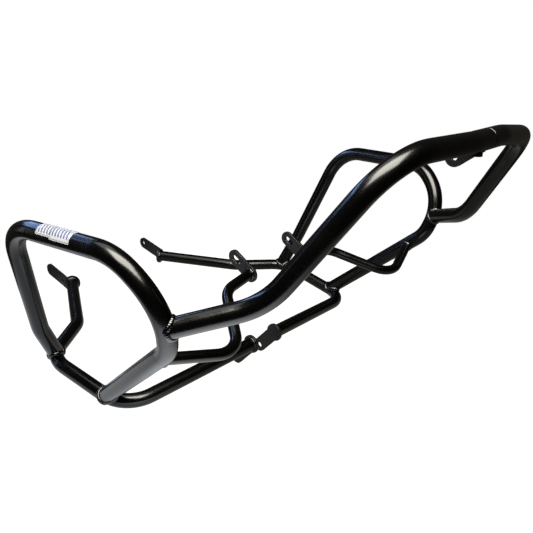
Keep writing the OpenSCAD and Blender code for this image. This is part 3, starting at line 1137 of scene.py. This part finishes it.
class CRASHBARS_OT_set_stage(bpy.types.Operator):
    """Makes the floor, the lights, the room and the camera"""

    bl_idname = "crashbars.set_stage"
    bl_label = "Set the stage"

    def execute(self, context):
        self.floor()
        self.lights()
        self.air()
        self.picture()
        self.camera()
        return {"FINISHED"}

    def floor(self):
        """A round floor that glows."""
        stage = settings().stage
        level = CAD_BOX[0].z - FLOOR_GAP
        bm = bmesh.new()
        bmesh.ops.create_circle(
            bm,
            cap_ends=True,
            segments=96,
            radius=stage.floor_r,
            matrix=Matrix.Translation((0, 0, level)),
        )
        piece_from(bm, "floor", self.light_table(level))

    def light_table(self, level):
        """The floor's glow: white in the picture, and brighter near the camera in the gloss."""
        stage = settings().stage
        material = bpy.data.materials.new("light_table")
        material.use_nodes = True
        tree = material.node_tree
        tree.nodes.clear()
        coordinates = add_node(tree, "ShaderNodeTexCoord", (0, 0))
        reach = add_node(tree, "ShaderNodeVectorMath", (200, 0), operation="DISTANCE")
        reach.inputs[1].default_value = (stage.floor_patch[0], stage.floor_patch[1], level)
        tree.links.new(coordinates.outputs["Object"], reach.inputs[0])
        patch = add_range(
            tree,
            reach.outputs["Value"],
            (0.0, stage.floor_patch_r),
            (stage.floor_patch_glow, stage.floor_dim),
            (400, 0),
            "SMOOTHSTEP",
        )
        split = add_node(tree, "ShaderNodeSeparateXYZ", (200, -300))
        tree.links.new(coordinates.outputs["Object"], split.inputs["Vector"])
        strip = add_range(
            tree,
            split.outputs["X"],
            (stage.strip_from, stage.strip_to),
            (stage.strip_glow, stage.floor_dim),
            (400, -300),
            "SMOOTHSTEP",
        )
        ray = add_node(tree, "ShaderNodeLightPath", (400, 300))
        seen = ray.outputs["Is Camera Ray"]
        white = add_math(tree, "MULTIPLY", seen, stage.floor_glow, (600, 300))
        wider = add_math(tree, "MAXIMUM", patch, strip, (600, 0))
        glow = add_node(tree, "ShaderNodeEmission", (1000, 0))
        far, near = (*stage.floor_far, 1), (*stage.floor_near, 1)
        feed(tree, add_mix(tree, strip, far, near, (600, -300)), glow.inputs["Color"])
        feed(tree, add_math(tree, "MAXIMUM", wider, white, (800, 0)), glow.inputs["Strength"])
        out = add_node(tree, "ShaderNodeOutputMaterial", (1200, 0))
        tree.links.new(glow.outputs["Emission"], out.inputs["Surface"])
        return material

    def lights(self):
        """The softboxes.

        The gloss of the coat needs a far brighter softbox than the matt label, so the key only
        shows in the gloss and the fill only lights what is matt.
        """
        self.softbox(
            "key_softbox",
            bearing=230,
            rise=58,
            away=1.55,
            size=(1.30, 1.10),
            bright=25.0,
            colour=(1.0, 0.97, 0.86),
            matt=False,
        )
        self.softbox(
            "fill",
            bearing=252,
            rise=44,
            away=1.55,
            size=(1.30, 1.10),
            bright=4.2,
            colour=(1.0, 0.99, 0.97),
            gloss=False,
        )
        self.softbox(
            "ceiling",
            bearing=300,
            rise=72,
            away=2.2,
            size=(2.0, 1.4),
            bright=2.6,
            colour=(1.0, 0.98, 0.92),
        )
        self.softbox(
            "window",
            bearing=350,
            rise=34,
            away=2.6,
            size=(2.1, 0.30),
            bright=11.0,
            colour=(0.33, 0.53, 1.0),
            matt=False,
        )
        self.softbox(
            "side_strip",
            bearing=317,
            rise=8,
            away=2.4,
            size=(0.14, 1.2),
            bright=2.5,
            colour=(0.9, 0.94, 1.0),
            matt=False,
        )

    def softbox(self, name, bearing, rise, away, size, bright, colour, gloss=True, matt=True):
        """A lamp that faces the middle of the bars, from that bearing and rise and so far away.

        bearing is in degrees from the rear over the rider's left, and gloss and matt say which
        surfaces it lights.
        """
        data = bpy.data.lights.new(name, "AREA")
        data.shape = "RECTANGLE"
        data.size, data.size_y = size
        data.energy = bright * math.pi * size[0] * size[1]
        data.color = colour
        lamp = bpy.data.objects.new(name, data)
        turn, lift = math.radians(bearing), math.radians(rise)
        level = math.cos(lift)
        way = Vector((level * math.sin(turn), level * math.cos(turn), math.sin(lift)))
        middle = (Vector(CAD_BOX[0]) + Vector(CAD_BOX[1])) / 2
        lamp.location = middle + way * away
        lamp.rotation_euler = (-way).to_track_quat("-Z", "Y").to_euler()
        lamp.visible_glossy = gloss
        lamp.visible_diffuse = matt
        bpy.context.scene.collection.objects.link(lamp)

    def air(self):
        """White behind the bars, as in a cut-out picture, and a dim room in what they mirror."""
        stage = settings().stage
        world = bpy.data.worlds.new("studio_air")
        world.use_nodes = True
        tree = world.node_tree
        white = tree.nodes["Background"]
        white.inputs["Color"].default_value = (1, 1, 1, 1)
        dim = add_node(tree, "ShaderNodeBackground", (0, -200))
        dim.inputs["Color"].default_value = (*stage.air_colour, 1)
        dim.inputs["Strength"].default_value = stage.air_dim
        ray = add_node(tree, "ShaderNodeLightPath", (0, 400))
        mix = add_node(tree, "ShaderNodeMixShader", (200, 100))
        tree.links.new(ray.outputs["Is Camera Ray"], mix.inputs["Fac"])
        tree.links.new(dim.outputs["Background"], mix.inputs[1])
        tree.links.new(white.outputs["Background"], mix.inputs[2])
        tree.links.new(mix.outputs["Shader"], tree.nodes["World Output"].inputs["Surface"])
        bpy.context.scene.world = world

    def picture(self):
        """Plain colours, with a little of the dark end shown as black."""
        view = bpy.context.scene.view_settings
        view.view_transform = "Standard"
        view.use_curve_mapping = True
        view.curve_mapping.black_level = (settings().stage.black_level,) * 3
        view.curve_mapping.update()

    def camera(self):
        """The camera at the photo's viewing angle."""
        stage = settings().stage
        data = bpy.data.cameras.new("photo_camera")
        data.sensor_width = stage.sensor
        data.lens = stage.lens
        data.clip_start = 0.01
        camera = bpy.data.objects.new("photo_camera", data)
        camera.location = stage.camera_place
        camera.rotation_euler = stage.camera_turn
        bpy.context.scene.collection.objects.link(camera)
        bpy.context.scene.camera = camera


class CrashBarSettings(bpy.types.PropertyGroup):
    """All the settings of the crash bars."""

    coat: PointerProperty(name="Coat", description="The powder coat", type=CoatSettings)
    weld: PointerProperty(name="Welds", description="The weld beads", type=WeldSettings)
    label: PointerProperty(name="Label", description="The printed label", type=LabelSettings)
    stage: PointerProperty(
        name="Stage", description="Camera, floor and lights", type=StageSettings
    )


class CRASHBARS_PT_panel(bpy.types.Panel):
    """Lists the steps and their settings"""

    bl_label = "Crash bars"
    bl_idname = "CRASHBARS_PT_panel"
    bl_space_type = "VIEW_3D"
    bl_region_type = "UI"
    bl_category = "Crash bars"

    def draw(self, context):
        layout = self.layout
        bars = settings()
        for operator in STEPS:
            layout.operator(operator.bl_idname)
        for group in (bars.coat, bars.weld, bars.label, bars.stage):
            box = layout.box()
            for name in group.__annotations__:
                box.prop(group, name)


STEPS = (
    CRASHBARS_OT_mix_finishes,
    CRASHBARS_OT_dress_tubes,
    CRASHBARS_OT_dress_plates,
    CRASHBARS_OT_lay_welds,
    CRASHBARS_OT_stick_label,
    CRASHBARS_OT_set_stage,
)
CLASSES = (
    CoatSettings,
    WeldSettings,
    LabelSettings,
    StageSettings,
    CrashBarSettings,
    *STEPS,
    CRASHBARS_PT_panel,
)


def register():
    for cls in CLASSES:
        bpy.utils.register_class(cls)
    bpy.types.Scene.crash_bars = PointerProperty(type=CrashBarSettings)


def unregister():
    del bpy.types.Scene.crash_bars
    for cls in reversed(CLASSES):
        bpy.utils.unregister_class(cls)


def main():
    register()
    bpy.ops.crashbars.mix_finishes()
    bpy.ops.crashbars.dress_tubes()
    bpy.ops.crashbars.dress_plates()
    bpy.ops.crashbars.lay_welds()
    bpy.ops.crashbars.stick_label()
    bpy.ops.crashbars.set_stage()


if __name__ == "__main__":
    main()
